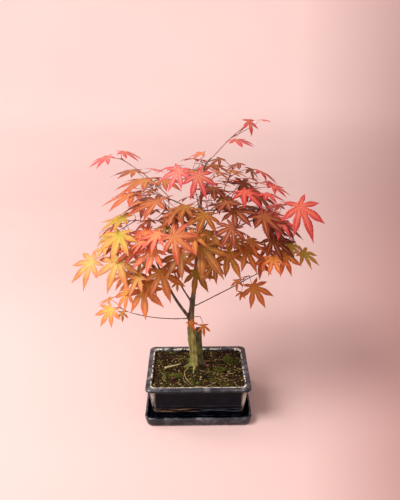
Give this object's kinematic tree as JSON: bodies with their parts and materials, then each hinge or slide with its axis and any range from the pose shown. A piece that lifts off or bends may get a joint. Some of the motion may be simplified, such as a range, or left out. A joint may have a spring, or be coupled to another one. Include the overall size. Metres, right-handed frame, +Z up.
{
  "type": "potted_bonsai_maple",
  "caption": "Bonsai Japanese maple with red, orange and yellow-green star leaves in a dark glazed rectangular pot that stands in its drip tray.",
  "frame": {"origin": "centre of the drip tray's flat underside", "axes": "+X along the pot's long side, to the right as seen from the front; -Y to the front; +Z up the trunk"},
  "size_m": [0.3304, 0.2692, 0.4218],
  "materials": {
    "glaze": "glossy dark blue-black glaze, worn cream at the edges",
    "screen_plastic": "matt",
    "soil": "coarse, dull",
    "moss": "soft, dull",
    "dead_twig": "dry, dull",
    "bark": "rough green-brown bark",
    "leaf_red": "satin leaf",
    "leaf_orange": "satin leaf",
    "leaf_brown": "satin leaf",
    "leaf_yellow": "satin leaf"
  },
  "bodies": {
    "root": {"drip_tray": "glaze", "pot": "glaze", "drainage_screen_left": "screen_plastic", "drainage_screen_right": "screen_plastic", "soil": "soil", "moss_front_left": "moss", "moss_front_right": "moss", "moss_back_right": "moss", "fallen_twig": "dead_twig", "trunk": "bark", "trunk_leaf": "leaf_orange", "stump_leaf": "leaf_orange", "low_left_shoot": "leaf_orange", "hanging_left_shoot": "leaf_orange", "middle_left_shoot": "leaf_brown", "left_star_shoot": "leaf_yellow", "left_green_shoot": "leaf_yellow", "red_middle_shoot": "leaf_red", "front_star_shoot": "leaf_red", "front_low_shoot": "leaf_brown", "trunk_star_shoot": "leaf_yellow", "right_front_shoot": "leaf_brown", "middle_front_shoot": "leaf_brown", "low_right_shoot": "leaf_red", "right_low_end_shoot": "leaf_orange", "right_green_shoot": "leaf_orange", "right_dark_shoot": "leaf_brown", "right_star_shoot": "leaf_red", "dark_front_shoot": "leaf_brown", "centre_shoot": "leaf_brown", "big_brown_shoot": "leaf_orange", "salmon_shoot": "leaf_orange", "top_left_shoot": "leaf_red", "top_shoot": "leaf_red", "top_middle_shoot": "leaf_brown", "drooping_pink_shoot": "leaf_red", "right_upper_shoot": "leaf_brown", "right_top_star_shoot": "leaf_red", "inner_right_shoot": "leaf_brown", "inner_green_shoot": "leaf_yellow", "small_green_shoot": "leaf_yellow", "left_inner_shoot": "leaf_yellow", "left_second_end_shoot": "leaf_orange", "left_second_side_shoot": "leaf_orange", "twig_shoot": "leaf_brown", "back_left_end_shoot": "leaf_red", "back_left_side_shoot": "leaf_orange", "back_left_low_shoot": "leaf_brown", "back_right_end_shoot": "leaf_red", "back_right_side_shoot": "leaf_brown", "back_right_low_shoot": "leaf_brown", "back_middle_end_shoot": "leaf_red", "back_middle_side_shoot": "leaf_red", "right_mid_side_shoot": "leaf_brown", "right_mid_low_shoot": "leaf_brown"}
  },
  "joints": []
}
